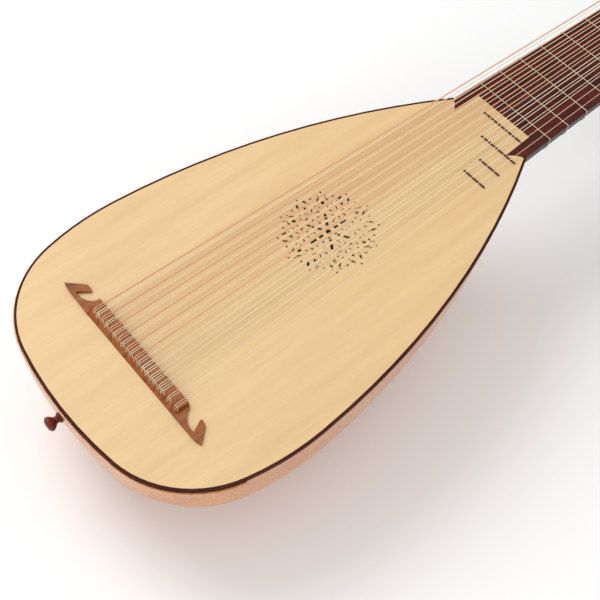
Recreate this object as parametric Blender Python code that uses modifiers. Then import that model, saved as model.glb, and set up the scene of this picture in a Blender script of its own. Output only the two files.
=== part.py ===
"""Baroque lute with eleven courses, modelled piece by piece in metres.

Instrument axes before the rest tilt: +X runs from the tail to the pegbox, +Y is the bass side,
+Z leaves the soundboard, whose top face is z = 0. The whole lute then hangs on one empty that
tilts it to lie on its bowl and on the end of its pegbox.
"""
import math

import bpy
import bmesh
from mathutils import Matrix, Vector

MM = 0.001
GAP = 0.3

# driving dimensions, millimetres
STRING_LENGTH = 700.0
BRIDGE_LINE = 11.8
TAIL_X = -73.8
ARC_RADII = (414.5, 98.0, 253.3, 752.5)
ARC_SWEEPS = (9.73, 67.22, 16.9)
JOINT_X = 419.6
BOARD_THICK = 1.6
BINDING_WIDE = 2.0
BINDING_HIGH = 3.0
RIB_COUNT = 9
RIB_THICK = 2.0
BOWL_RATIO = 0.87
BOWL_RATIO_NECK = 0.66
ROSE_X = 216.3
ROSE_Y = 0.8
NECK_HALF = 50.2
NECK_TAPER = 0.0345
NECK_TURN = 0.0171
NECK_DEPTH_JOINT = 31.0
NECK_DEPTH_NUT = 22.0
NUT_X = BRIDGE_LINE + STRING_LENGTH
BEND = math.radians(82.0)
PEGBOX_LENGTH = 206.0
PEGBOX_HALF = 38.0
PEGBOX_HALF_END = 24.0
CHEEK_THICK = 5.0
PEG_FIRST = 24.0
PEG_PITCH = 9.3
PEG_COUNT = 19
PEG_RADIUS = 4.1
PEG_TAPER = 1.0 / 60.0
REST_TILT = math.radians(6.122)
REST_SHIFT = (-0.3341241, 0.0, 0.1303111)

# courses from the highest: (y at the bridge, y at the nut, radius) for each string
COURSES = (
    ((-62.7, -30.7, 0.21),),
    ((-52.5, -22.8, 0.25),),
    ((-43.4, -15.7, 0.30), (-38.7, -13.1, 0.30)),
    ((-32.1, -7.3, 0.34), (-27.3, -4.8, 0.34)),
    ((-20.8, 0.5, 0.40), (-15.1, 3.6, 0.40)),
    ((-8.9, 8.8, 0.28), (-3.3, 11.8, 0.50)),
    ((3.4, 17.0, 0.30), (8.6, 20.6, 0.54)),
    ((15.6, 25.5, 0.32), (21.3, 28.5, 0.58)),
    ((28.1, 33.4, 0.34), (34.0, 36.3, 0.62)),
    ((41.0, 41.3, 0.36), (47.3, 44.3, 0.66)),
    ((54.2, 49.6, 0.40), (59.6, 52.9, 0.70)),
)

bpy_objects = bpy.data.objects
for old in list(bpy_objects):
    bpy_objects.remove(old, do_unlink=True)

lute = bpy.data.collections.new("baroque_lute")
bpy.context.scene.collection.children.link(lute)
tools = bpy.data.collections.new("cutters")
bpy.context.scene.collection.children.link(tools)


def material(name, colour, rough, metal=0.0):
    mat = bpy.data.materials.new(name)
    mat.use_nodes = True
    shader = mat.node_tree.nodes["Principled BSDF"]
    shader.inputs["Base Color"].default_value = (*colour, 1.0)
    shader.inputs["Roughness"].default_value = rough
    shader.inputs["Metallic"].default_value = metal
    mat.diffuse_color = (*colour, 1.0)
    return mat


SPRUCE = material("spruce", (0.83, 0.62, 0.34), 0.5)
SPRUCE_INNER = material("spruce_inner", (0.72, 0.56, 0.36), 0.65)
RIB_WOOD = material("rib_wood", (0.62, 0.34, 0.20), 0.35)
CLASP_WOOD = material("clasp_wood", (0.64, 0.36, 0.22), 0.35)
DARK_BINDING = material("dark_binding", (0.06, 0.02, 0.01), 0.4)
VENEER = material("neck_veneer", (0.05, 0.03, 0.025), 0.35)
BOARD_WOOD = material("fingerboard_wood", (0.11, 0.03, 0.02), 0.45)
BRIDGE_WOOD = material("bridge_wood", (0.30, 0.11, 0.04), 0.45)
BONE = material("bone", (0.85, 0.78, 0.62), 0.4)
PEG_WOOD = material("peg_wood", (0.09, 0.03, 0.02), 0.35)
BUTTON_WOOD = material("button_wood", (0.12, 0.015, 0.012), 0.3)
FRET_WOOD = material("fret_wood", (0.13, 0.05, 0.02), 0.5)
GUT = material("gut", (0.85, 0.74, 0.52), 0.4)
PEGBOX_WOOD = material("pegbox_wood", (0.10, 0.045, 0.03), 0.4)

axes = bpy.data.objects.new("lute_axes", None)
lute.objects.link(axes)
axes.rotation_euler = (0.0, -REST_TILT, 0.0)
axes.location = REST_SHIFT


def finish(obj, mat, smooth=False, origin=None):
    """Scale a mesh in millimetres to metres, move its origin, and hang it on the tilted axes."""
    mesh = obj.data
    shift = Vector(origin) if origin else Vector((0.0, 0.0, 0.0))
    mesh.transform(Matrix.Translation(-shift))
    mesh.transform(Matrix.Scale(MM, 4))
    obj.matrix_world = Matrix.Identity(4)
    obj.location = shift * MM
    obj.parent = axes
    mesh.materials.clear()
    mesh.materials.append(mat)
    if smooth:
        mesh.shade_smooth()
        mesh.set_sharp_from_angle(angle=math.radians(35.0))
    return obj


def raw(name, verts, faces, where=None):
    mesh = bpy.data.meshes.new(name)
    mesh.from_pydata([tuple(v) for v in verts], [], faces)
    bm = bmesh.new()
    bm.from_mesh(mesh)
    bmesh.ops.recalc_face_normals(bm, faces=bm.faces)
    bm.to_mesh(mesh)
    bm.free()
    obj = bpy.data.objects.new(name, mesh)
    (where or lute).objects.link(obj)
    return obj


def loft(name, rings, where=None):
    """Skin over rings of equal length, with both ends closed."""
    size = len(rings[0])
    verts = [p for ring in rings for p in ring]
    faces = [list(range(size)), [(len(rings) - 1) * size + k for k in reversed(range(size))]]
    for i in range(len(rings) - 1):
        for k in range(size):
            n = (k + 1) % size
            faces.append([i * size + k, i * size + n, (i + 1) * size + n, (i + 1) * size + k])
    return raw(name, verts, faces, where)


def plate(name, outline, low, high, where=None):
    """Upright prism over a flat outline in X and Y."""
    return loft(name, [[(x, y, low) for x, y in outline], [(x, y, high) for x, y in outline]], where)


def side_plate(name, outline, low, high, where=None):
    """Prism across Y over an outline in X and Z."""
    return loft(name, [[(x, low, z) for x, z in outline], [(x, high, z) for x, z in outline]], where)


def joined(name, pieces):
    """Several separate solids as one object."""
    bm = bmesh.new()
    for piece in pieces:
        bm.from_mesh(piece.data)
        mesh = piece.data
        bpy.data.objects.remove(piece)
        bpy.data.meshes.remove(mesh)
    mesh = bpy.data.meshes.new(name)
    bm.to_mesh(mesh)
    bm.free()
    obj = bpy.data.objects.new(name, mesh)
    lute.objects.link(obj)
    return obj


def boolean(obj, cutter, operation):
    """Apply one exact Boolean and drop the second solid."""
    mod = obj.modifiers.new("cut", "BOOLEAN")
    mod.operation = operation
    mod.solver = "EXACT"
    mod.object = cutter
    cutter.hide_render = True
    cutter.display_type = "WIRE"
    graph = bpy.context.evaluated_depsgraph_get()
    mesh = bpy.data.meshes.new_from_object(obj.evaluated_get(graph))
    old = obj.data
    obj.modifiers.clear()
    obj.data = mesh
    bpy.data.meshes.remove(old)
    used = cutter.data
    bpy.data.objects.remove(cutter)
    bpy.data.meshes.remove(used)
    return obj


def wire(name, points, radius, sides=1, cyclic=False):
    """Round cord along points, as a curve with a bevel that is turned into a mesh."""
    curve = bpy.data.curves.new(name, "CURVE")
    curve.dimensions = "3D"
    curve.bevel_depth = radius
    curve.bevel_resolution = sides
    curve.use_fill_caps = not cyclic
    spline = curve.splines.new("POLY")
    spline.points.add(len(points) - 1)
    for point, co in zip(spline.points, points):
        point.co = (*co, 1.0)
    spline.use_cyclic_u = cyclic
    holder = bpy.data.objects.new(name + "_curve", curve)
    lute.objects.link(holder)
    graph = bpy.context.evaluated_depsgraph_get()
    mesh = bpy.data.meshes.new_from_object(holder.evaluated_get(graph))
    bpy.data.objects.remove(holder)
    bpy.data.curves.remove(curve)
    bm = bmesh.new()
    bm.from_mesh(mesh)
    bmesh.ops.remove_doubles(bm, verts=bm.verts, dist=0.001)
    bmesh.ops.recalc_face_normals(bm, faces=bm.faces)
    bm.to_mesh(mesh)
    bm.free()
    obj = bpy.data.objects.new(name, mesh)
    lute.objects.link(obj)
    return obj


def turned(name, profile, steps, where=None):
    """Lathe (radius, along) pairs about Y, with the ends on the axis."""
    curve = raw(name, [(0.0, 0.0, 0.0)], [], where)
    mesh = bpy.data.meshes.new(name)
    verts = [(r, u, 0.0) for r, u in profile]
    mesh.from_pydata(verts, [(i, i + 1) for i in range(len(verts) - 1)], [])
    old = curve.data
    curve.data = mesh
    bpy.data.meshes.remove(old)
    mod = curve.modifiers.new("lathe", "SCREW")
    mod.axis = "Y"
    mod.steps = steps
    mod.render_steps = steps
    mod.use_merge_vertices = True
    mod.merge_threshold = 0.0001
    mod.use_smooth_shade = False
    graph = bpy.context.evaluated_depsgraph_get()
    solid = bpy.data.meshes.new_from_object(curve.evaluated_get(graph))
    curve.modifiers.clear()
    curve.data = solid
    bpy.data.meshes.remove(mesh)
    bm = bmesh.new()
    bm.from_mesh(solid)
    bmesh.ops.remove_doubles(bm, verts=bm.verts, dist=0.0001)
    bmesh.ops.recalc_face_normals(bm, faces=bm.faces)
    bm.to_mesh(solid)
    bm.free()
    return curve


# body outline: four arcs that run into each other, from the tail to the neck joint
def outline_points(offset, end_x, per_arc=(3, 13, 5, 12)):
    x = TAIL_X
    y = 0.0
    heading = math.pi / 2.0
    sweeps = [math.radians(a) for a in ARC_SWEEPS]
    sweeps.append(math.radians(40.0))
    found = []
    for radius, sweep, count in zip(ARC_RADII, sweeps, per_arc):
        cx = x + radius * math.sin(heading)
        cy = y - radius * math.cos(heading)
        last = heading - sweep
        if radius == ARC_RADII[-1]:
            last = math.asin((cx - end_x) / (radius + offset))
        for k in range(count):
            a = heading + (last - heading) * k / count
            found.append((cx - (radius + offset) * math.sin(a), cy + (radius + offset) * math.cos(a)))
        x = cx - radius * math.sin(last)
        y = cy + radius * math.cos(last)
        if radius == ARC_RADII[-1]:
            found.append((end_x, cy + (radius + offset) * math.cos(last)))
        heading = last
    return found


def neck_centre(x):
    return NECK_TURN * (x - JOINT_X)


def neck_half(x):
    return NECK_HALF - NECK_TAPER * (x - JOINT_X)


def bowl_ratio(x):
    t = min(max((x - 230.0) / (JOINT_X - 230.0), 0.0), 1.0)
    return BOWL_RATIO + (BOWL_RATIO_NECK - BOWL_RATIO) * t * t * (3.0 - 2.0 * t)


# soundboard, with the tongue that reaches over the neck
TONGUE_BASS = 37.0
TONGUE_END = 439.5
POINT_CURVE = ((415.6, 46.6), (411.6, 41.6), (408.2, 38.6))


def point_curve(side):
    found = [(x, side * y) for x, y in POINT_CURVE]
    found.append((405.6, TONGUE_BASS if side > 0 else -36.5))
    return found


edge = outline_points(0.0, 416.0)
bass_edge = list(edge)
treble_edge = [(x, -y) for x, y in edge if y > 0.01]
bass_edge[-1] = (416.6, edge[-1][1] - 0.4)
treble_edge[-1] = (416.6, -edge[-1][1] + 0.4)
board = bass_edge + point_curve(1.0)
board += [(TONGUE_END, TONGUE_BASS), (TONGUE_END, -33.8)]
board += list(reversed(point_curve(-1.0)))
board += list(reversed(treble_edge))
soundboard = plate("soundboard", board, -BOARD_THICK, 0.0)

# rose: cells of one wedge, as offsets from the rose centre, turned and mirrored into twelve
ROSE_AXIS_A = (
    ((0.0, 48.4), (-1.2, 47.0), (0.0, 45.6), (1.2, 47.0)),
    ((-1.8, 33.6), (1.8, 33.6), (0.5, 36.8), (-0.5, 36.8)),
    ((-1.3, 13.2), (0.0, 11.3), (1.3, 13.2), (0.0, 14.6)),
    ((-0.8, 15.7), (0.8, 15.7), (0.0, 17.6)),
)
ROSE_AXIS_B = (
    ((0.0, 48.4), (-1.2, 47.0), (0.0, 45.6), (1.2, 47.0)),
    ((-1.5, 32.4), (1.5, 32.4), (1.5, 36.2), (-1.5, 36.2)),
    ((-1.5, 14.2), (1.5, 14.2), (1.2, 21.2), (-1.2, 21.2)),
    ((-1.5, 6.4), (1.5, 6.4), (1.5, 11.4), (-1.5, 11.4)),
)
ROSE_OFF = (
    ((2.7, 42.0), (4.2, 38.4), (6.0, 38.9), (4.9, 43.2), (3.4, 43.6)),
    ((11.0, 42.0), (9.6, 40.6), (11.0, 39.2), (12.4, 40.6)),
    ((18.1, 40.0), (17.1, 39.0), (18.1, 37.9), (19.2, 38.9)),
    ((13.0, 34.3), (14.2, 33.7), (18.4, 36.0), (18.2, 37.3), (16.4, 37.2)),
    ((4.6, 36.2), (6.6, 36.0), (6.2, 37.8)),
    ((7.9, 31.2), (8.9, 30.3), (10.0, 31.4), (9.0, 32.5)),
    ((1.4, 27.3), (2.3, 26.8), (4.7, 29.8), (3.6, 30.5)),
    ((10.2, 27.6), (11.4, 26.2), (12.5, 27.2), (11.3, 28.7)),
    ((4.0, 24.2), (7.8, 22.3), (8.1, 25.0)),
    ((1.5, 19.9), (4.4, 17.2), (3.6, 20.5)),
)


def rose_cells():
    cells = []
    for k in range(6):
        for group, base in ((ROSE_AXIS_A, 0.0), (ROSE_AXIS_B, 30.0)):
            a = math.radians(60.0 * k + base)
            for cell in group:
                cells.append([(x * math.cos(a) - y * math.sin(a), x * math.sin(a) + y * math.cos(a)) for x, y in cell])
        a = math.radians(60.0 * k)
        for cell in ROSE_OFF:
            for side in (1.0, -1.0):
                cells.append([(side * x * math.cos(a) - y * math.sin(a),
                               side * x * math.sin(a) + y * math.cos(a)) for x, y in cell])
    cells.append([(3.0 * math.cos(math.radians(60.0 * k)), 3.0 * math.sin(math.radians(60.0 * k))) for k in range(6)])
    return cells


cell_solids = []
for number, cell in enumerate(rose_cells()):
    moved = [(x + ROSE_X, y + ROSE_Y) for x, y in cell]
    cell_solids.append(plate("cell_%d" % number, moved, -BOARD_THICK - 1.0, 1.0, tools))
rose_cutter = joined("rose_cutter", cell_solids)
boolean(soundboard, rose_cutter, "DIFFERENCE")

# frets glued on the board beyond the neck: semitones 9 to 12
for number, bass_end, treble_end in ((9, 17.5, -34.3), (10, -3.0, -50.0), (11, -24.0, -51.0), (12, -24.5, -53.0)):
    x = BRIDGE_LINE + STRING_LENGTH * 2.0 ** (-number / 12.0)
    outline = [(x - 0.9, treble_end), (x + 0.9, treble_end), (x + 0.9, bass_end), (x - 0.9, bass_end)]
    boolean(soundboard, plate("strip", outline, -0.6, 1.0, tools), "UNION")

# dark edge strip around the board, from one neck corner round the tail to the other
inner = outline_points(GAP, JOINT_X - 1.8)
outer = outline_points(GAP + BINDING_WIDE, JOINT_X - 0.4)
rings = []
for (xi, yi), (xo, yo) in reversed(list(zip(inner, outer))):
    rings.append([(xi, -yi, 0.0), (xo, -yo, 0.0), (xo, -yo, -BINDING_HIGH), (xi, -yi, -BINDING_HIGH)])
for (xi, yi), (xo, yo) in list(zip(inner, outer))[1:]:
    rings.append([(xi, yi, 0.0), (xo, yo, 0.0), (xo, yo, -BINDING_HIGH), (xi, yi, -BINDING_HIGH)])
finish(loft("edge_binding", rings), DARK_BINDING)

# bowl: flat-faced ribs between the tail and the neck joint
RIM_Z = -BINDING_HIGH - GAP
STEP = math.pi / RIB_COUNT
ROUNDING = 2.0 / (1.0 + math.cos(0.5 * STEP))
DIVISIONS = (5, 10, 4, 10)


def shell(offset, end_x):
    return outline_points(offset, end_x, DIVISIONS)


def shell_point(station, angle):
    """Point of the bowl's cross-section at one station; the two rims lie at 0 and 180 degrees."""
    x, half = station
    grow = 1.0 if angle in (0.0, math.pi) else ROUNDING
    depth = half * grow * bowl_ratio(x) + RIM_Z
    return (x, half * grow * math.cos(angle), RIM_Z - depth * math.sin(angle))


OUTSIDE = shell(GAP + BINDING_WIDE, JOINT_X - GAP)
INSIDE = shell(GAP + BINDING_WIDE - RIB_THICK, JOINT_X - GAP)
STATIONS = [pair for pair in zip(OUTSIDE, INSIDE) if pair[0][1] > 7.0]


def rib(name, first, last):
    """One rib; its long edges stand half a glue gap off the dividing planes."""
    found = []
    for station, within in STATIONS:
        turn = 0.5 * GAP / (station[1] * 0.93)
        a = first + turn if first > 0.0 else 0.0
        b = last - turn if last < 3.14 else math.pi
        found.append([shell_point(station, a), shell_point(station, b), shell_point(within, b), shell_point(within, a)])
    return loft(name, found)


ribs = []
for k in range(RIB_COUNT):
    last = math.pi if k == RIB_COUNT - 1 else (k + 1) * STEP
    ribs.append(rib("bowl_rib_%d" % (k + 1), k * STEP, last))
middle = RIB_COUNT // 2


def section_y(station, z):
    """Half-width of the bowl at one station and height, along its flat faces."""
    last = shell_point(station, 0.0)
    for k in range(1, RIB_COUNT // 2 + 1):
        now = shell_point(station, k * STEP)
        if now[2] <= z:
            t = (z - last[2]) / (now[2] - last[2])
            return last[1] + (now[1] - last[1]) * t
        last = now
    return last[1]


# tail: clasp strip outside the ribs, block inside them, button through all of it
BUTTON_Z = -13.0
CLASP_THICK = 1.3
CLASP_DROP = 19.0
half_line = [point for point in OUTSIDE if point[0] < 15.0]
clasp_line = [(x, -y) for x, y in reversed(half_line)] + half_line[1:]
clasp_rings = []
for i, (x, y) in enumerate(clasp_line):
    a = clasp_line[max(i - 1, 0)]
    b = clasp_line[min(i + 1, len(clasp_line) - 1)]
    length = math.hypot(b[0] - a[0], b[1] - a[1])
    nx = -(b[1] - a[1]) / length
    ny = (b[0] - a[0]) / length
    low = -CLASP_DROP if 0 < i < len(clasp_line) - 1 else -CLASP_DROP + 5.0
    low_y = math.copysign(section_y((x, abs(y)), low), y) if abs(y) > 45.0 else y
    near = GAP + 0.06
    far = near + CLASP_THICK
    clasp_rings.append([
        (x + nx * near, y + ny * near, RIM_Z + 0.0),
        (x + nx * far, y + ny * far, RIM_Z + 0.0),
        (x + nx * far, low_y + ny * far, low),
        (x + nx * near, low_y + ny * near, low),
    ])
end_clasp = loft("end_clasp", clasp_rings)

tail_inner = [point for point in shell(GAP + BINDING_WIDE - RIB_THICK - 0.4, JOINT_X) if abs(point[1]) < 40.0]
tail_line = [(x, -y) for x, y in reversed(tail_inner)] + tail_inner[1:]
tail_rings = []
for low, push in ((-BOARD_THICK - GAP, 0.3), (-12.0, 2.0), (-22.0, 5.0)):
    ring = [(x + push, y * (1.0 - 0.03 * push), low) for x, y in tail_line]
    ring.append((tail_line[-1][0] + 12.0, tail_line[-1][1] - 6.0, low))
    ring.append((tail_line[0][0] + 12.0, tail_line[0][1] + 6.0, low))
    tail_rings.append(ring)
tail_block = loft("tail_block", tail_rings)

button_bore = turned("bore", [(0.0, 40.0), (3.62, 40.0), (3.62, 110.0), (0.0, 110.0)], 16, tools)
turn_to_x = Matrix.Translation((0.0, 0.0, BUTTON_Z)) @ Matrix.Rotation(math.radians(90.0), 4, "Z")
button_bore.data.transform(turn_to_x)
for pierced in (end_clasp, tail_block, ribs[middle - 1], ribs[middle], ribs[middle + 1]):
    copy = button_bore.copy()
    copy.data = button_bore.data.copy()
    tools.objects.link(copy)
    boolean(pierced, copy, "DIFFERENCE")
used = button_bore.data
bpy_objects.remove(button_bore)
bpy.data.meshes.remove(used)
for solid in ribs:
    finish(solid, RIB_WOOD)
finish(end_clasp, CLASP_WOOD)
finish(tail_block, SPRUCE_INNER)

seat = -TAIL_X + GAP + BINDING_WIDE + GAP + 0.06 + CLASP_THICK + GAP
button = turned("end_button", [
    (0.0, seat - 18.0), (2.6, seat - 18.0), (3.25, seat - 16.5), (3.25, seat), (4.9, seat),
    (4.9, seat + 1.2), (3.4, seat + 2.6), (3.3, seat + 5.0), (5.4, seat + 7.0), (6.9, seat + 9.6),
    (6.6, seat + 11.8), (4.4, seat + 13.4), (1.8, seat + 13.9), (0.0, seat + 13.9),
], 20)
button.data.transform(turn_to_x)
finish(button, BUTTON_WOOD, smooth=True)

# cross bars glued under the soundboard
for x, deep in ((28.0, 12.0), (96.0, 15.0), (132.0, 15.0), (163.0, 12.0), (268.0, 12.0), (305.0, 15.0), (342.0, 14.0)):
    half = min(section_y(pair[1], -18.0) for pair in STATIONS if abs(pair[1][0] - x) < 30.0) - 1.2
    outline = [(-half, -0.8), (half, -0.8), (half, -4.0), (half - 14.0, -deep), (-half + 14.0, -deep), (-half, -4.0)]
    bar = loft("bar", [[(x - 2.5, y, z) for y, z in outline], [(x + 2.5, y, z) for y, z in outline]], tools)
    boolean(soundboard, bar, "UNION")
finish(soundboard, SPRUCE)

# neck block, a solid that fills the bowl's front end
block_rings = []
for x, half in [p for p in shell(0.0, JOINT_X - GAP) if p[0] > 375.0]:
    top = -BOARD_THICK - GAP
    ring = [(x, half, top)]
    ring += [shell_point((x, half), k * STEP) for k in range(RIB_COUNT)]
    ring += [shell_point((x, half), math.pi), (x, -half, top)]
    block_rings.append(ring)
block_rings.append([(JOINT_X + 3.0, y * 0.97, z * 0.97 - 0.03 * 2.0) for x, y, z in block_rings[-1]])
neck_block = loft("neck_block", block_rings, tools)

# neck, cut by the mitre plane that carries the pegbox
NECK_TOP = -BOARD_THICK - GAP
HEAD_X = 715.5
MITRE = math.tan(0.5 * BEND)
NECK_FACETS = 12


def neck_depth(x):
    return NECK_DEPTH_JOINT + (NECK_DEPTH_NUT - NECK_DEPTH_JOINT) * (x - JOINT_X) / (HEAD_X - JOINT_X)


def neck_section(x):
    found = []
    for k in range(NECK_FACETS + 1):
        a = math.pi * k / NECK_FACETS
        c = math.cos(a)
        y = neck_half(x) * math.copysign(abs(c) ** 0.86, c)
        found.append((neck_centre(x) + y, NECK_TOP - neck_depth(x) * math.sin(a) ** 0.86))
    return found


neck_rings = []
for x in (JOINT_X, 470.0, 530.0, 590.0, 640.0, 680.0):
    neck_rings.append([(x, y, z) for y, z in neck_section(x)])
neck_rings.append([(HEAD_X + (z - NECK_TOP) * MITRE, y, z) for y, z in neck_section(HEAD_X - 10.0)])
neck = loft("neck", neck_rings)
boolean(neck, neck_block, "UNION")
finish(neck, VENEER, smooth=True)

# fingerboard with its two points beside the tongue
end = NUT_X - GAP
finger = [(end, neck_centre(end) + neck_half(end)), (420.1, 50.15), (418.7, 48.8), (416.7, 48.5)]
finger += [(415.9, 46.5), (411.8, 41.35), (408.45, 38.35), (406.7, 37.3)]
finger += [(TONGUE_END + GAP, 37.3), (TONGUE_END + GAP, -34.1)]
finger += [(407.0, -36.75), (408.45, -38.3), (411.8, -41.35), (415.9, -46.5)]
finger += [(416.7, -48.5), (418.7, -48.8), (420.1, -50.15), (end, neck_centre(end) - neck_half(end))]
finish(plate("fingerboard", finger, -BOARD_THICK, 0.0), BOARD_WOOD)

# nut, longer than the neck is wide so that the eleventh course clears the cheek
NUT_THICK = 4.5
NUT_TOP = 1.0
nut_outline = [(-33.5, -BOARD_THICK), (56.0, -BOARD_THICK), (56.0, 0.4), (55.0, NUT_TOP), (-33.0, NUT_TOP)]
finish(loft("nut", [[(NUT_X, y, z) for y, z in nut_outline],
                    [(NUT_X + NUT_THICK, y, z) for y, z in nut_outline]]), BONE)

# gut frets tied round the neck
for number in range(1, 9):
    x = BRIDGE_LINE + STRING_LENGTH * 2.0 ** (-number / 12.0)
    thick = 0.52 - 0.02 * number
    centre = neck_centre(x)
    half = neck_half(x)
    ring = [(centre + half, 0.0)] + neck_section(x) + [(centre - half, 0.0)]
    count = len(ring)
    path = []
    reach = GAP + thick + 0.04
    for i, (y, z) in enumerate(ring):
        before = Vector((y - ring[i - 1][0], z - ring[i - 1][1])).normalized()
        after = Vector((ring[(i + 1) % count][0] - y, ring[(i + 1) % count][1] - z)).normalized()
        first = Vector((-before.y, before.x))
        second = Vector((-after.y, after.x))
        if i in (0, count - 1):
            path.append((x, y + first.x * reach, z + first.y * reach))
            path.append((x, y + second.x * reach, z + second.y * reach))
            continue
        mid = (first + second).normalized()
        long = reach / max(mid.dot(first), 0.5)
        path.append((x, y + mid.x * long, z + mid.y * long))
    fret = wire("tied_fret_%d" % number, path, thick, 1, True)
    finish(fret, GUT, smooth=True, origin=(x, centre, 0.0))

# bridge: tie bar with a sloping back, drawn out into an arm and a leaf at each end
BAR_TOP = 6.9
BAR_FRONT = 10.0
bar_profile = [(-6.4, GAP), (BAR_FRONT + 0.3, GAP), (BAR_FRONT, BAR_TOP), (0.0, BAR_TOP), (-6.2, 1.4)]
bridge = side_plate("bridge", bar_profile, -67.0, 67.5)
ARM_TOP = 3.0
bass_arm = [(-6.4, 64.0), (10.3, 64.0), (8.6, 69.5), (4.2, 72.0), (0.8, 76.0), (-1.2, 81.0), (-1.8, 86.0),
            (-1.6, 90.0), (9.6, 81.6), (11.0, 83.6), (10.8, 89.4), (8.6, 92.0), (-4.2, 105.0), (-5.4, 96.0)]
treble_arm = [(x, -y) for x, y in bass_arm]
treble_arm = [(x - 0.8, y * 1.005 - 0.4) if y < -80.0 else (x, y) for x, y in treble_arm]
treble_arm[8] = (8.8, -85.0)
treble_arm[9] = (10.0, -86.4)
treble_arm[10] = (9.0, -91.4)
treble_arm[11] = (7.0, -93.4)
treble_arm[12] = (-4.2, -103.8)
for arm in (bass_arm, treble_arm):
    boolean(bridge, plate("arm", arm, GAP, ARM_TOP, tools), "UNION")
finish(bridge, BRIDGE_WOOD)

# pegbox axes: s runs down the box from the neck, t leaves its open face
DOWN = Vector((math.cos(BEND), 0.0, -math.sin(BEND)))
FRONT = Vector((math.sin(BEND), 0.0, math.cos(BEND)))
HEAD = Vector((HEAD_X, 0.0, NECK_TOP))
BOX_Y = 5.0
OPEN_T = -3.5
PEG_T = -10.5


def box_point(s, y, t):
    p = HEAD + DOWN * s + FRONT * t
    return (p.x, y, p.z)


def box_half(s):
    return PEGBOX_HALF + (PEGBOX_HALF_END - PEGBOX_HALF) * s / PEGBOX_LENGTH


def mitre_s(t):
    return -t * MITRE + 0.42


def box_plate(name, outline, near, far, side):
    """Solid between two surfaces given as distances inside the cheeks' outer faces."""
    rings_found = []
    for inset in (near, far):
        rings_found.append([box_point(s, BOX_Y + side * (box_half(s) - inset), t) for s, t in outline])
    return loft(name, rings_found)


def peg_station(k):
    s = PEG_FIRST + k * PEG_PITCH
    p = box_point(s, BOX_Y, PEG_T)
    return s, p[0], p[2]


LONG_PEGS = (0, 2)
LONG_COLLAR_Y = 56.3


def peg_side(k):
    return 1.0 if k % 2 == 0 else -1.0


def peg_radius(distance):
    """Shank radius at a distance inside the cheek face on the head's side."""
    return PEG_RADIUS - max(distance, 0.0) * PEG_TAPER


cheeks = []
cheek_outline = [(mitre_s(OPEN_T), OPEN_T), (PEGBOX_LENGTH, OPEN_T), (PEGBOX_LENGTH, -17.0), (mitre_s(-20.7), -20.7)]
for side in (1.0, -1.0):
    cheek = box_plate("pegbox_cheek_bass" if side > 0 else "pegbox_cheek_treble", cheek_outline, 0.0, CHEEK_THICK, side)
    bores = []
    for k in range(PEG_COUNT):
        s, x, z = peg_station(k)
        face = box_half(s)
        start = -1.5 if peg_side(k) == side else 2.0 * face - CHEEK_THICK - 1.5
        stop = CHEEK_THICK + 1.5 if peg_side(k) == side else 2.0 * face + 1.5
        widen = 1.0 / math.cos(math.pi / 12.0)
        profile = []
        for d in (start, stop):
            r = (peg_radius(d) + 0.26) * widen
            profile.append((r, face - d))
        profile = [(0.0, profile[0][1])] + profile + [(0.0, profile[1][1])]
        bore = turned("bore", profile, 12, tools)
        spin = Matrix.Identity(4) if peg_side(k) > 0 else Matrix.Rotation(math.pi, 4, "Z")
        bore.data.transform(Matrix.Translation((x, BOX_Y, z)) @ spin)
        bores.append(bore)
    boolean(cheek, joined("bores", bores), "DIFFERENCE")
    cheeks.append(cheek)
finish(cheeks[0], PEGBOX_WOOD)

back = [(mitre_s(-21.0), -21.0), (PEGBOX_LENGTH, -17.3), (PEGBOX_LENGTH, -20.3), (mitre_s(-24.0), -24.0)]
left = [box_point(s, BOX_Y + box_half(s), t) for s, t in back]
right = [box_point(s, BOX_Y - box_half(s), t) for s, t in back]
pegbox_back = loft("pegbox_back", [left, right])
end_outline = [(197.6, OPEN_T), (PEGBOX_LENGTH - 0.1, OPEN_T), (PEGBOX_LENGTH - 0.1, -18.8), (197.6, -18.8)]
left = [box_point(s, BOX_Y + box_half(s) - CHEEK_THICK - GAP, t) for s, t in end_outline]
right = [box_point(s, BOX_Y - box_half(s) + CHEEK_THICK + GAP, t) for s, t in end_outline]
boolean(pegbox_back, loft("end_block", [left, right], tools), "UNION")
finish(pegbox_back, PEGBOX_WOOD)

# rider on the treble cheek for the first course
RIDER_S = 30.0
RIDER_T = 7.5
RIDER_RADIUS = 3.2
rider_outline = [(13.0, OPEN_T - 0.6), (47.0, OPEN_T - 0.6), (44.0, 2.0), (38.0, 10.0), (34.0, 13.4),
                 (30.0, 14.4), (26.0, 13.4), (22.0, 10.0), (16.0, 2.0)]
rider = box_plate("treble_rider", rider_outline, -0.6, 3.8, -1.0)
boolean(cheeks[1], rider, "UNION")
rider = cheeks[1]
rider_x, rider_y, rider_z = box_point(RIDER_S, BOX_Y, RIDER_T)
bore_radius = (RIDER_RADIUS + 0.26) / math.cos(math.pi / 12.0)
rider_bore = turned("bore", [(0.0, -60.0), (bore_radius, -60.0), (bore_radius, 0.0), (0.0, 0.0)], 12, tools)
rider_bore.data.transform(Matrix.Translation((rider_x, 0.0, rider_z)))
boolean(rider, rider_bore, "DIFFERENCE")
finish(rider, PEGBOX_WOOD)


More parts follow.
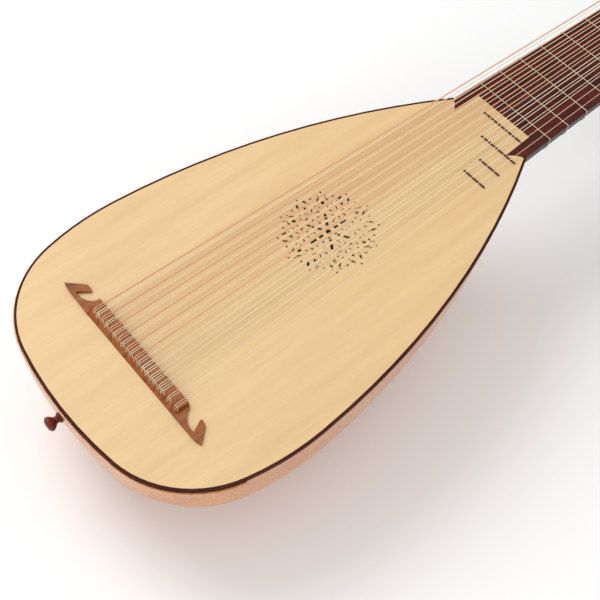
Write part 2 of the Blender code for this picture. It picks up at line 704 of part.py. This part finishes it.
def peg(name, x, z, profile, collar, side, spin):
    """Turned shank with a flat heart-shaped head, pointing to one side of the box."""
    shank = turned(name, profile, 12)
    heart = [(-2.6, 2.4), (-5.6, 4.2), (-7.8, 7.8), (-7.9, 11.0), (-6.0, 13.8), (-3.2, 14.9), (0.0, 14.2),
             (3.2, 14.9), (6.0, 13.8), (7.9, 11.0), (7.8, 7.8), (5.6, 4.2), (2.6, 2.4)]
    head = loft("head", [[(v, collar + u, -2.2) for v, u in heart], [(v, collar + u, 2.2) for v, u in heart]], tools)
    boolean(shank, head, "UNION")
    turn = Matrix.Rotation(spin, 4, "Y")
    if side < 0:
        turn = Matrix.Rotation(math.pi, 4, "Z") @ turn
    shank.data.transform(Matrix.Translation((x, BOX_Y, z)) @ turn)
    return finish(shank, PEG_WOOD, smooth=True, origin=(x, BOX_Y, z))


for k in range(PEG_COUNT):
    s, x, z = peg_station(k)
    face = box_half(s)
    collar = LONG_COLLAR_Y - BOX_Y if k in LONG_PEGS else face + 7.5
    tip = -face - 2.6
    tip_radius = peg_radius(face - tip)
    profile = [(0.0, tip), (tip_radius - 0.7, tip), (tip_radius, tip + 0.8), (PEG_RADIUS, face),
               (PEG_RADIUS, collar), (5.2, collar + 0.3), (5.2, collar + 1.7), (3.2, collar + 3.4), (0.0, collar + 3.4)]
    peg("peg_%02d" % (k + 1), x, z, profile, collar, peg_side(k), math.radians(8.0 + (k * 47) % 90 - 45))

face = box_half(RIDER_S) + 0.6
profile = [(0.0, face - 11.2), (2.2, face - 11.2), (2.9, face - 10.4), (RIDER_RADIUS, face - 6.0), (RIDER_RADIUS, face + 3.0),
           (4.4, face + 3.2), (4.4, face + 4.6), (2.8, face + 6.2), (0.0, face + 6.2)]
peg("peg_20", rider_x, rider_z, profile, face + 2.9, -1.0, math.radians(64.0))

# strings: over the tie bar, along the board, round the nut, down to the pegs
bass_first = [k for k in range(PEG_COUNT) if k not in LONG_PEGS]
strings_low_first = []
for number in range(len(COURSES), 0, -1):
    for position in range(len(COURSES[number - 1]) - 1, -1, -1):
        strings_low_first.append((number, position))
peg_of = {(11, 1): 2, (11, 0): 0, (1, 0): 19}
inner_strings = [key for key in strings_low_first if key not in peg_of]
for key, k in zip(inner_strings, bass_first):
    peg_of[key] = k


def string_end(key, y_nut, radius):
    """Where a string meets its peg: the point just off the shank, in front of it."""
    k = peg_of[key]
    if k == 19:
        y = -24.6
        return box_point(RIDER_S, y, RIDER_T - 2.95 - GAP - radius)
    s, x, z = peg_station(k)
    face = box_half(s)
    if k in LONG_PEGS:
        return box_point(s, y_nut, PEG_T + PEG_RADIUS + GAP + radius)
    pull = 0.28 + 0.3 * s / 200.0
    y = BOX_Y + (y_nut - BOX_Y) * (1.0 - pull)
    distance = face - peg_side(k) * (y - BOX_Y)
    return box_point(s, y, PEG_T + peg_radius(distance) + GAP + radius)


for number, course in enumerate(COURSES, 1):
    route = []
    radius = sum(string[2] for string in course) / len(course)
    for position, (y_bridge, y_nut, _) in enumerate(course):
        slope = (y_nut - y_bridge) / (NUT_X - 32.0)
        y_bar = y_bridge + slope * (BAR_FRONT - 32.0)
        lift = GAP + radius + 0.05
        over = NUT_TOP + lift
        corner = NUT_X + NUT_THICK + lift
        path = [
            (-2.0 - 0.66 * lift, y_bar, 5.13 + 0.75 * lift),
            (-0.45 * lift, y_bar, BAR_TOP + lift),
            (BAR_FRONT, y_bar, BAR_TOP + lift),
            (NUT_X, y_nut, over),
            (corner - 0.6 * lift, y_nut, over),
            (corner, y_nut, over - 0.6 * lift),
            string_end((number, position), y_nut, radius),
        ]
        route = path if not route else list(reversed(route)) + path
    finish(wire("string_course_%02d" % number, route, radius, 1), GUT, smooth=True)
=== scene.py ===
"""Looks of the baroque lute: woods, gut strings with their knots and windings, floor, light and camera."""
import math

import bpy
from mathutils import Matrix, Vector


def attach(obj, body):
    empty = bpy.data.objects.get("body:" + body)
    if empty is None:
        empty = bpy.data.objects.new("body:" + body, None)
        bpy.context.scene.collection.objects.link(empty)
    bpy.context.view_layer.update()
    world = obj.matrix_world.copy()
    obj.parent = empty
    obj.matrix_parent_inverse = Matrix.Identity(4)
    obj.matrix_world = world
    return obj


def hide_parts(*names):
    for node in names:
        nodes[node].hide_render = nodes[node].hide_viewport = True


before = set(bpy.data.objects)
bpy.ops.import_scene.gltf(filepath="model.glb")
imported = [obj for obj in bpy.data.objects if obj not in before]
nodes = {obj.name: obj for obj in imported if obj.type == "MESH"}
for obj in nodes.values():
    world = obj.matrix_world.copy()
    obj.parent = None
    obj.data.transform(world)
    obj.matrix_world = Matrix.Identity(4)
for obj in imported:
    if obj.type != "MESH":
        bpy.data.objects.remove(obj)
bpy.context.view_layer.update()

# the lute's own axes: x to the pegbox, y to the bass side, z off the soundboard, in millimetres
MM = 0.001
REST_TILT = math.radians(6.122)
REST_SHIFT = Vector((-0.3341241, 0.0, 0.1303111))
AXES = Matrix.Translation(REST_SHIFT) @ Matrix.Rotation(-REST_TILT, 4, "Y")
TO_WORLD = AXES @ Matrix.Scale(MM, 4)

# bridge and nut
STRING_LENGTH = 700.0
BRIDGE_LINE = 11.8
NUT_X = BRIDGE_LINE + STRING_LENGTH
NUT_THICK = 4.5
NUT_TOP = 1.0
BAR_TOP = 6.9
BAR_FRONT = 10.0

# pegbox: s runs down it from the head, t is in front of its open face
BEND = math.radians(82.0)
HEAD = Vector((715.5, 0.0, -1.9))
DOWN = Vector((math.cos(BEND), 0.0, -math.sin(BEND)))
FRONT = Vector((math.sin(BEND), 0.0, math.cos(BEND)))
BOX_Y = 5.0
BOX_LENGTH = 206.0
BOX_HALF = 38.0
BOX_HALF_LOSS = 14.0

# pegs, counted from 0 at the head; the last course is wound on the outer pegs, the first on the rider's
PEG_T = -10.5
PEG_FIRST = 24.0
PEG_PITCH = 9.3
PEG_COUNT = 19
PEG_RADIUS = 4.1
PEG_TAPER = 1.0 / 60.0
OUTER_PEGS = (0, 2)
RIDER_PEG = 19
RIDER_PLACE = (30.0, -24.6, 7.5)
RIDER_RADIUS = 2.95

# how far the windings spread inside the pegbox, as a share of the spread at the nut
SPREAD = 0.72
SPREAD_LOSS = 0.3
SPREAD_LENGTH = 200.0

# strings: their width over the soundboard was measured at x = WIDTH_LINE
WIDTH_LINE = 32.0
SLACK = 0.12
NUT_ROUND = 1.0
NUT_LEAVE = math.radians(6.0)
NUT_STEPS = 5
LOOP_HALF = 1.15
LOOP_THICKEST = 0.45
LOOP_SIDES = 8
TAIL_SHARE = 0.9
WINDING_TURNS = 4
WINDING_STEPS = 14
WINDING_PITCH = 2.15
WINDING_GAP = 0.1
FIRST_PINK = 6

# each course from the treble side, one string or two: y where its width was measured, y at the nut, radius
COURSES = (
    ((-62.7, -30.7, 0.21),),
    ((-52.5, -22.8, 0.25),),
    ((-43.4, -15.7, 0.30), (-38.7, -13.1, 0.30)),
    ((-32.1, -7.3, 0.34), (-27.3, -4.8, 0.34)),
    ((-20.8, 0.5, 0.40), (-15.1, 3.6, 0.40)),
    ((-8.9, 8.8, 0.28), (-3.3, 11.8, 0.50)),
    ((3.4, 17.0, 0.30), (8.6, 20.6, 0.54)),
    ((15.6, 25.5, 0.32), (21.3, 28.5, 0.58)),
    ((28.1, 33.4, 0.34), (34.0, 36.3, 0.62)),
    ((41.0, 41.3, 0.36), (47.3, 44.3, 0.66)),
    ((54.2, 49.6, 0.40), (59.6, 52.9, 0.70)),
)

# the wooden frets on the soundboard: a point this high off it, and this far up, is on one
BODY_FRET_FOOT = 0.12
BODY_FRET_START = 300.0
FRET_DARK = (0.035, 0.012, 0.006)
FRET_BROWN = (0.09, 0.035, 0.018)

# floor, light and camera
FLOOR_HALF = 6.0
FLOOR_GREY = 0.93
SKY_LIGHT = 0.72
SKY_SEEN = 1.0
CAMERA_PLACE = Vector((-210.03, -517.66, 877.07))
CAMERA_RIGHT = Vector((0.78111, -0.62409, -0.01920))
CAMERA_BELOW = Vector((-0.52496, -0.63977, -0.56135))
CAMERA_AHEAD = Vector((0.33805, 0.44856, -0.82736))
LENS = 71.87
SENSOR = 36.0
CLIP = 0.05


class Shader:
    """Short way to write node materials in the lute's own directions."""

    def __init__(self, name, rough, coat=0.0):
        self.mat = bpy.data.materials.new(name)
        self.mat.use_nodes = True
        self.tree = self.mat.node_tree
        self.out = self.tree.nodes["Principled BSDF"]
        self.out.inputs["Roughness"].default_value = rough
        self.out.inputs["Coat Weight"].default_value = coat
        self.out.inputs["Coat Roughness"].default_value = 0.25
        coords = self.tree.nodes.new("ShaderNodeTexCoord")
        turn = self.tree.nodes.new("ShaderNodeMapping")
        turn.vector_type = "POINT"
        turn.inputs["Rotation"].default_value = (0.0, REST_TILT, 0.0)
        self.link(coords.outputs["Object"], turn.inputs["Vector"])
        self.space = turn.outputs["Vector"]

    def link(self, a, b):
        self.tree.links.new(a, b)

    def stretch(self, scale):
        node = self.tree.nodes.new("ShaderNodeMapping")
        node.inputs["Scale"].default_value = scale
        self.link(self.space, node.inputs["Vector"])
        return node.outputs["Vector"]

    def noise(self, scale, detail, rough=0.6):
        node = self.tree.nodes.new("ShaderNodeTexNoise")
        node.inputs["Scale"].default_value = 1.0
        node.inputs["Detail"].default_value = detail
        node.inputs["Roughness"].default_value = rough
        self.link(self.stretch(scale), node.inputs["Vector"])
        return node.outputs["Fac"]

    def wave(self, scale, distort, detail):
        node = self.tree.nodes.new("ShaderNodeTexWave")
        node.bands_direction = "Y"
        node.inputs["Scale"].default_value = 1.0
        node.inputs["Distortion"].default_value = distort
        node.inputs["Detail"].default_value = detail
        self.link(self.stretch(scale), node.inputs["Vector"])
        return node.outputs["Fac"]

    def ramp(self, value, stops):
        node = self.tree.nodes.new("ShaderNodeValToRGB")
        ramp = node.color_ramp
        while len(ramp.elements) < len(stops):
            ramp.elements.new(0.5)
        for element, (place, colour) in zip(ramp.elements, stops):
            element.position = place
            element.color = (*colour, 1.0)
        self.link(value, node.inputs["Fac"])
        return node.outputs["Color"]

    def mask(self, value, low, high, most=1.0):
        """0 where the value is below low, rising to most where it is above high."""
        return self.ramp(value, ((low, (0.0, 0.0, 0.0)), (high, (most, most, most))))

    def mix(self, amount, a, b):
        node = self.tree.nodes.new("ShaderNodeMix")
        node.data_type = "RGBA"
        factor, colour_a, colour_b = node.inputs[0], node.inputs[6], node.inputs[7]
        if isinstance(amount, float):
            factor.default_value = amount
        else:
            self.link(amount, factor)
        for socket, value in ((colour_a, a), (colour_b, b)):
            if isinstance(value, tuple):
                socket.default_value = (*value, 1.0)
            else:
                self.link(value, socket)
        return node.outputs[2]

    def above(self, height, start):
        """1 where a point is higher than height above the soundboard and beyond start along it."""
        split = self.tree.nodes.new("ShaderNodeSeparateXYZ")
        self.link(self.space, split.inputs["Vector"])
        origin = Matrix.Rotation(REST_TILT, 4, "Y") @ REST_SHIFT
        both = self.tree.nodes.new("ShaderNodeMath")
        both.operation = "MULTIPLY"
        for k, (axis, limit) in enumerate((("Z", origin.z + height * MM), ("X", origin.x + start * MM))):
            node = self.tree.nodes.new("ShaderNodeMath")
            node.operation = "GREATER_THAN"
            node.inputs[1].default_value = limit
            self.link(split.outputs[axis], node.inputs[0])
            self.link(node.outputs["Value"], both.inputs[k])
        return both.outputs["Value"]

    def colour(self, value):
        self.link(value, self.out.inputs["Base Color"])

    def roughness(self, value, low, high):
        node = self.tree.nodes.new("ShaderNodeMapRange")
        node.inputs["To Min"].default_value = low
        node.inputs["To Max"].default_value = high
        self.link(value, node.inputs["Value"])
        self.link(node.outputs["Result"], self.out.inputs["Roughness"])

    def bump(self, value, strength, distance):
        node = self.tree.nodes.new("ShaderNodeBump")
        node.inputs["Strength"].default_value = strength
        node.inputs["Distance"].default_value = distance
        self.link(value, node.inputs["Height"])
        self.link(node.outputs["Normal"], self.out.inputs["Normal"])


def spruce(name, pale, dark, frets=False):
    """Pale wood with fine year rings along the strings, and dark wooden frets where they stand on it."""
    s = Shader(name, rough=0.5)
    rings = s.wave(scale=(3.0, 430.0, 3.0), distort=1.6, detail=2.0)
    clouds = s.noise(scale=(6.0, 60.0, 6.0), detail=3.0)
    fibre = s.noise(scale=(40.0, 1600.0, 1600.0), detail=4.0, rough=0.7)
    tone = s.ramp(rings, ((0.0, pale), (0.62, pale), (0.9, dark), (1.0, pale)))
    tone = s.mix(s.mask(clouds, low=0.35, high=0.7), tone, s.mix(0.5, tone, dark))
    tone = s.mix(s.mask(fibre, low=0.4, high=0.75, most=0.35), tone, dark)
    if frets:
        fret_wood = s.ramp(fibre, ((0.35, FRET_DARK), (0.7, FRET_BROWN)))
        tone = s.mix(s.above(BODY_FRET_FOOT, BODY_FRET_START), tone, fret_wood)
    s.colour(tone)
    s.roughness(fibre, low=0.42, high=0.6)
    s.bump(fibre, strength=0.12, distance=0.0002)
    return s.mat


def hardwood(name, mid, dark, light, rough=(0.28, 0.45), streak=120.0, coat=0.0, shine=0.25):
    """Darker wood with long streaks, cross flame and short pores."""
    s = Shader(name, rough[0], coat)
    s.out.inputs["Specular IOR Level"].default_value = shine
    streaks = s.noise(scale=(7.0, streak, streak), detail=5.0, rough=0.65)
    pores = s.noise(scale=(90.0, 1500.0, 1500.0), detail=3.0)
    flame = s.noise(scale=(60.0, 14.0, 14.0), detail=3.0, rough=0.5)
    tone = s.ramp(streaks, ((0.28, dark), (0.5, mid), (0.74, light)))
    tone = s.mix(s.mask(flame, low=0.42, high=0.66, most=0.4), tone, light)
    tone = s.mix(s.mask(pores, low=0.52, high=0.7, most=0.55), tone, dark)
    s.colour(tone)
    s.roughness(pores, *rough)
    s.bump(pores, strength=0.1, distance=0.0002)
    return s.mat


def gut(name, pale, dark):
    """Twisted gut, also used for the bone of the nut."""
    s = Shader(name, rough=0.38, coat=0.1)
    twist = s.noise(scale=(900.0, 2500.0, 2500.0), detail=3.0)
    s.colour(s.ramp(twist, ((0.3, dark), (0.65, pale))))
    s.roughness(twist, low=0.3, high=0.5)
    s.bump(twist, strength=0.15, distance=0.0001)
    return s.mat


def rib_wood(name, red):
    return hardwood(name, mid=(red, 0.25, 0.09), dark=(0.48, 0.165, 0.052), light=(0.70, 0.34, 0.13),
                    rough=(0.2, 0.36), streak=55.0, coat=0.4, shine=0.5)


BOARD = spruce("soundboard_spruce", pale=(0.765, 0.54, 0.28), dark=(0.60, 0.38, 0.17), frets=True)
INSIDE = spruce("block_spruce", pale=(0.70, 0.50, 0.28), dark=(0.55, 0.36, 0.18))
RIBS = [rib_wood("rib_wood_%d" % k, red) for k, red in enumerate((0.60, 0.62, 0.64))]
EDGE = hardwood("edge_ebony", mid=(0.05, 0.008, 0.004), dark=(0.02, 0.004, 0.002),
                light=(0.09, 0.015, 0.007), rough=(0.5, 0.6), shine=0.1)
FINGER = hardwood("fingerboard_rosewood", mid=(0.075, 0.012, 0.008), dark=(0.022, 0.006, 0.005),
                  light=(0.13, 0.022, 0.012), rough=(0.42, 0.6), streak=90.0, shine=0.12)
NECK = hardwood("neck_veneer_ebony", mid=(0.03, 0.014, 0.010), dark=(0.012, 0.006, 0.005),
                light=(0.06, 0.025, 0.016), rough=(0.25, 0.4))
BRIDGE = hardwood("bridge_plumwood", mid=(0.27, 0.075, 0.014), dark=(0.09, 0.018, 0.006),
                  light=(0.38, 0.125, 0.03), rough=(0.4, 0.55), streak=170.0)
PEGS = hardwood("peg_plumwood", mid=(0.10, 0.035, 0.018), dark=(0.045, 0.015, 0.009),
                light=(0.17, 0.06, 0.03), rough=(0.22, 0.38), streak=300.0)
BUTTON = hardwood("button_wood", mid=(0.10, 0.009, 0.008), dark=(0.05, 0.005, 0.004),
                  light=(0.18, 0.018, 0.014), rough=(0.18, 0.3), streak=260.0)
BOX = hardwood("pegbox_walnut", mid=(0.09, 0.035, 0.018), dark=(0.04, 0.016, 0.010), light=(0.15, 0.06, 0.03),
               rough=(0.3, 0.45), streak=160.0)
BONE = gut("nut_bone", pale=(0.80, 0.72, 0.56), dark=(0.70, 0.60, 0.42))
CREAM = gut("gut_cream", pale=(0.86, 0.76, 0.56), dark=(0.74, 0.62, 0.40))
PINK = gut("gut_loaded", pale=(0.76, 0.44, 0.27), dark=(0.64, 0.32, 0.18))
FRET = gut("gut_fret", pale=(0.78, 0.66, 0.44), dark=(0.62, 0.48, 0.28))

MATERIAL_OF = {
    "soundboard": BOARD,
    "tail_block": INSIDE,
    "end_clasp": RIBS[1],
    "edge_binding": EDGE,
    "fingerboard": FINGER,
    "neck": NECK,
    "bridge": BRIDGE,
    "nut": BONE,
    "end_button": BUTTON,
}
MATERIAL_OF_GROUP = {"peg_": PEGS, "pegbox": BOX, "tied_fret": FRET, "string_course": CREAM}


def material_for(name):
    if name in MATERIAL_OF:
        return MATERIAL_OF[name]
    if name.startswith("bowl_rib"):
        return RIBS[int(name[-1]) % len(RIBS)]
    return next(mat for start, mat in MATERIAL_OF_GROUP.items() if name.startswith(start))


def dress(name, mat):
    mesh = nodes[name].data
    mesh.materials.clear()
    mesh.materials.append(mat)
    for face in mesh.polygons:
        face.material_index = 0


for name in nodes:
    dress(name, material_for(name))


def tube(points, radius, sides=10):
    """Rings of vertices round a line of points, closed at both ends."""
    verts = []
    faces = []
    side = Vector((0.0, 1.0, 0.02)).normalized()
    last = len(points) - 1
    for i, point in enumerate(points):
        ahead = (points[min(i + 1, last)] - points[max(i - 1, 0)]).normalized()
        u = (side - ahead * side.dot(ahead)).normalized()
        v = ahead.cross(u)
        for k in range(sides):
            a = 2.0 * math.pi * k / sides
            verts.append(point + u * radius * math.cos(a) + v * radius * math.sin(a))
    for i in range(last):
        for k in range(sides):
            n = (k + 1) % sides
            faces.append((i * sides + k, i * sides + n, (i + 1) * sides + n, (i + 1) * sides + k))
    faces.append(tuple(reversed(range(sides))))
    faces.append(tuple(last * sides + k for k in range(sides)))
    return verts, faces


def build(name, parts, body):
    """One mesh from several (vertices, faces, material) parts, placed in the world and riding on a body."""
    mats = []
    verts = []
    faces = []
    index = []
    for part_verts, part_faces, mat in parts:
        if mat not in mats:
            mats.append(mat)
        base = len(verts)
        verts += [TO_WORLD @ v for v in part_verts]
        faces += [tuple(base + k for k in face) for face in part_faces]
        index += [mats.index(mat)] * len(part_faces)
    mesh = bpy.data.meshes.new(name)
    mesh.from_pydata(verts, [], faces)
    for mat in mats:
        mesh.materials.append(mat)
    for face, k in zip(mesh.polygons, index):
        face.material_index = k
    mesh.shade_smooth()
    obj = bpy.data.objects.new(name, mesh)
    bpy.context.scene.collection.objects.link(obj)
    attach(obj, body)
    return obj


def box_point(s, y, t):
    """A point s down the pegbox from its head and t in front of its open face."""
    p = HEAD + DOWN * s + FRONT * t
    return Vector((p.x, y, p.z))


def share_pegs():
    """The peg of each string, by (course, position): low strings go to the pegs nearest to the head."""
    last = len(COURSES)
    pegs = {(last, 1): OUTER_PEGS[1], (last, 0): OUTER_PEGS[0], (1, 0): RIDER_PEG}
    low_first = [(c, p) for c in range(last, 0, -1) for p in reversed(range(len(COURSES[c - 1])))]
    waiting = [key for key in low_first if key not in pegs]
    free = [k for k in range(PEG_COUNT) if k not in OUTER_PEGS]
    pegs.update(zip(waiting, free))
    return pegs


def winding_place(peg, y_nut):
    """Middle of a winding, the shank's radius there, and 1 where the string comes to its front, else -1."""
    if peg == RIDER_PEG:
        return box_point(*RIDER_PLACE), RIDER_RADIUS, -1.0
    s = PEG_FIRST + PEG_PITCH * peg
    if peg in OUTER_PEGS:
        return box_point(s, y_nut, PEG_T), PEG_RADIUS, 1.0
    y = BOX_Y + (y_nut - BOX_Y) * (SPREAD - SPREAD_LOSS * s / SPREAD_LENGTH)
    half = BOX_HALF - BOX_HALF_LOSS * s / BOX_LENGTH
    side = 1.0 if peg % 2 == 0 else -1.0
    return box_point(s, y, PEG_T), PEG_RADIUS - (half - side * (y - BOX_Y)) * PEG_TAPER, 1.0


def string_points(y_bar, y_nut, lift, leave):
    """From the bridge's bar over the nut's rounded edge to the point where the string meets its winding."""
    points = [Vector((BAR_FRONT - 0.5, y_bar, BAR_TOP + lift)), Vector((NUT_X + 0.4, y_nut, NUT_TOP + lift))]
    centre = Vector((NUT_X + NUT_THICK - 0.6, y_nut, NUT_TOP + lift - NUT_ROUND))
    for i in range(NUT_STEPS + 1):
        a = math.pi / 2.0 + (NUT_LEAVE - math.pi / 2.0) * i / NUT_STEPS
        points.append(centre + Vector((NUT_ROUND * math.cos(a), 0.0, NUT_ROUND * math.sin(a))))
    points.append(leave)
    return points


def loop_points(y_bar, shift, thick):
    """One strand of the string's loop round the bridge's bar, from behind it to below its front edge."""
    top = BAR_TOP + thick
    front = BAR_FRONT + thick
    return [
        Vector((-2.9, y_bar + shift * 0.5, 4.3)),
        Vector((-0.6, y_bar + shift, top - 0.2)),
        Vector((0.2, y_bar + shift, top + 0.1)),
        Vector((BAR_FRONT - 0.3, y_bar + shift, top + 0.1)),
        Vector((front + 0.25, y_bar + shift * 0.8, BAR_TOP - 0.5)),
        Vector((front + 0.45, y_bar + shift * 0.5, BAR_TOP - 2.4)),
    ]


def tail_points(y_bar, thick):
    """The string's short free end, tucked behind the bar."""
    return [
        Vector((-0.9, y_bar + 1.2, BAR_TOP + thick)),
        Vector((-0.5, y_bar - 0.4, BAR_TOP + 2.0 * thick)),
        Vector((-0.9, y_bar - 3.0, BAR_TOP + thick)),
        Vector((-2.2, y_bar - 5.0, BAR_TOP - 0.3)),
    ]


def winding_points(axis, shank, wrap, radius):
    """Turns of the string round its peg's shank."""
    points = []
    for i in range(WINDING_TURNS * WINDING_STEPS + 1):
        a = 2.0 * math.pi * i / WINDING_STEPS
        out = FRONT * wrap * math.cos(a) + DOWN * math.sin(a)
        along = (i / WINDING_STEPS - 0.5) * WINDING_PITCH * radius
        points.append(axis + out * (shank + WINDING_GAP + radius) + Vector((0.0, along, 0.0)))
    return points


def make_string(number, position, peg):
    """The parts of one string, and its winding as a piece of its own on the peg."""
    y_wide, y_nut, radius = COURSES[number - 1][position]
    mat = PINK if number >= FIRST_PINK and position == 1 else CREAM
    y_bar = y_wide + (y_nut - y_wide) / (NUT_X - WIDTH_LINE) * (BAR_FRONT - WIDTH_LINE)
    lift = SLACK + radius
    axis, shank, wrap = winding_place(peg, y_nut)
    leave = axis + FRONT * wrap * (shank + lift)
    thick = min(radius, LOOP_THICKEST)
    parts = [(*tube(string_points(y_bar, y_nut, lift, leave), radius), mat)]
    for shift in (-LOOP_HALF, LOOP_HALF):
        parts.append((*tube(loop_points(y_bar, shift, thick), thick, LOOP_SIDES), mat))
    parts.append((*tube(tail_points(y_bar, thick), thick * TAIL_SHARE, LOOP_SIDES), mat))
    winding = tube(winding_points(axis, shank, wrap, radius), radius, LOOP_SIDES)
    build("winding_%02d_%d" % (number, position), [(*winding, mat)], "peg_%02d_body" % (peg + 1))
    return parts


peg_of = share_pegs()
for number, course in enumerate(COURSES, 1):
    groups = []
    for position in range(len(course)):
        groups += make_string(number, position, peg_of[(number, position)])
    strings = build("gut_course_%02d" % number, groups, "lute")
    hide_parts("string_course_%02d" % number)


def make_floor():
    mesh = bpy.data.meshes.new("floor")
    corners = [(x * FLOOR_HALF, y * FLOOR_HALF, 0.0) for x, y in ((-1, -1), (1, -1), (1, 1), (-1, 1))]
    mesh.from_pydata(corners, [], [(0, 1, 2, 3)])
    pale = bpy.data.materials.new("floor_pale")
    pale.use_nodes = True
    shader = pale.node_tree.nodes["Principled BSDF"]
    shader.inputs["Base Color"].default_value = (FLOOR_GREY, FLOOR_GREY, FLOOR_GREY, 1.0)
    shader.inputs["Roughness"].default_value = 0.9
    shader.inputs["Specular IOR Level"].default_value = 0.1
    mesh.materials.append(pale)
    floor = bpy.data.objects.new("floor", mesh)
    bpy.context.scene.collection.objects.link(floor)
    return floor


def make_world():
    """White all round: softer as light than as the background that the camera sees."""
    world = bpy.data.worlds.new("studio")
    bpy.context.scene.world = world
    world.use_nodes = True
    tree = world.node_tree
    background = tree.nodes["Background"]
    background.inputs["Color"].default_value = (1.0, 1.0, 1.0, 1.0)
    ray = tree.nodes.new("ShaderNodeLightPath")
    strength = tree.nodes.new("ShaderNodeMapRange")
    strength.inputs["To Min"].default_value = SKY_LIGHT
    strength.inputs["To Max"].default_value = SKY_SEEN
    tree.links.new(ray.outputs["Is Camera Ray"], strength.inputs["Value"])
    tree.links.new(strength.outputs["Result"], background.inputs["Strength"])


def make_lamp(name, place, target, size, power):
    light = bpy.data.lights.new(name, "AREA")
    light.shape = "DISK"
    light.size = size
    light.energy = power
    obj = bpy.data.objects.new(name, light)
    obj.location = place
    obj.rotation_euler = (Vector(target) - Vector(place)).to_track_quat("-Z", "Y").to_euler()
    bpy.context.scene.collection.objects.link(obj)


def make_camera():
    camera = bpy.data.cameras.new("camera")
    camera.lens = LENS
    camera.sensor_width = SENSOR
    camera.clip_start = CLIP
    holder = bpy.data.objects.new("camera", camera)
    bpy.context.scene.collection.objects.link(holder)
    turn = Matrix((CAMERA_RIGHT, -CAMERA_BELOW, -CAMERA_AHEAD)).transposed().to_4x4()
    holder.matrix_world = AXES @ Matrix.Translation(CAMERA_PLACE * MM) @ turn
    bpy.context.scene.camera = holder


floor = make_floor()
make_world()
make_lamp("key", place=(-0.5, 1.2, 1.9), target=(-0.1, 0.0, 0.1), size=1.4, power=22.0)
make_lamp("fill", place=(-1.4, -1.2, 1.3), target=(-0.2, 0.0, 0.1), size=1.6, power=9.0)
make_camera()
bpy.context.scene.view_settings.view_transform = "Standard"
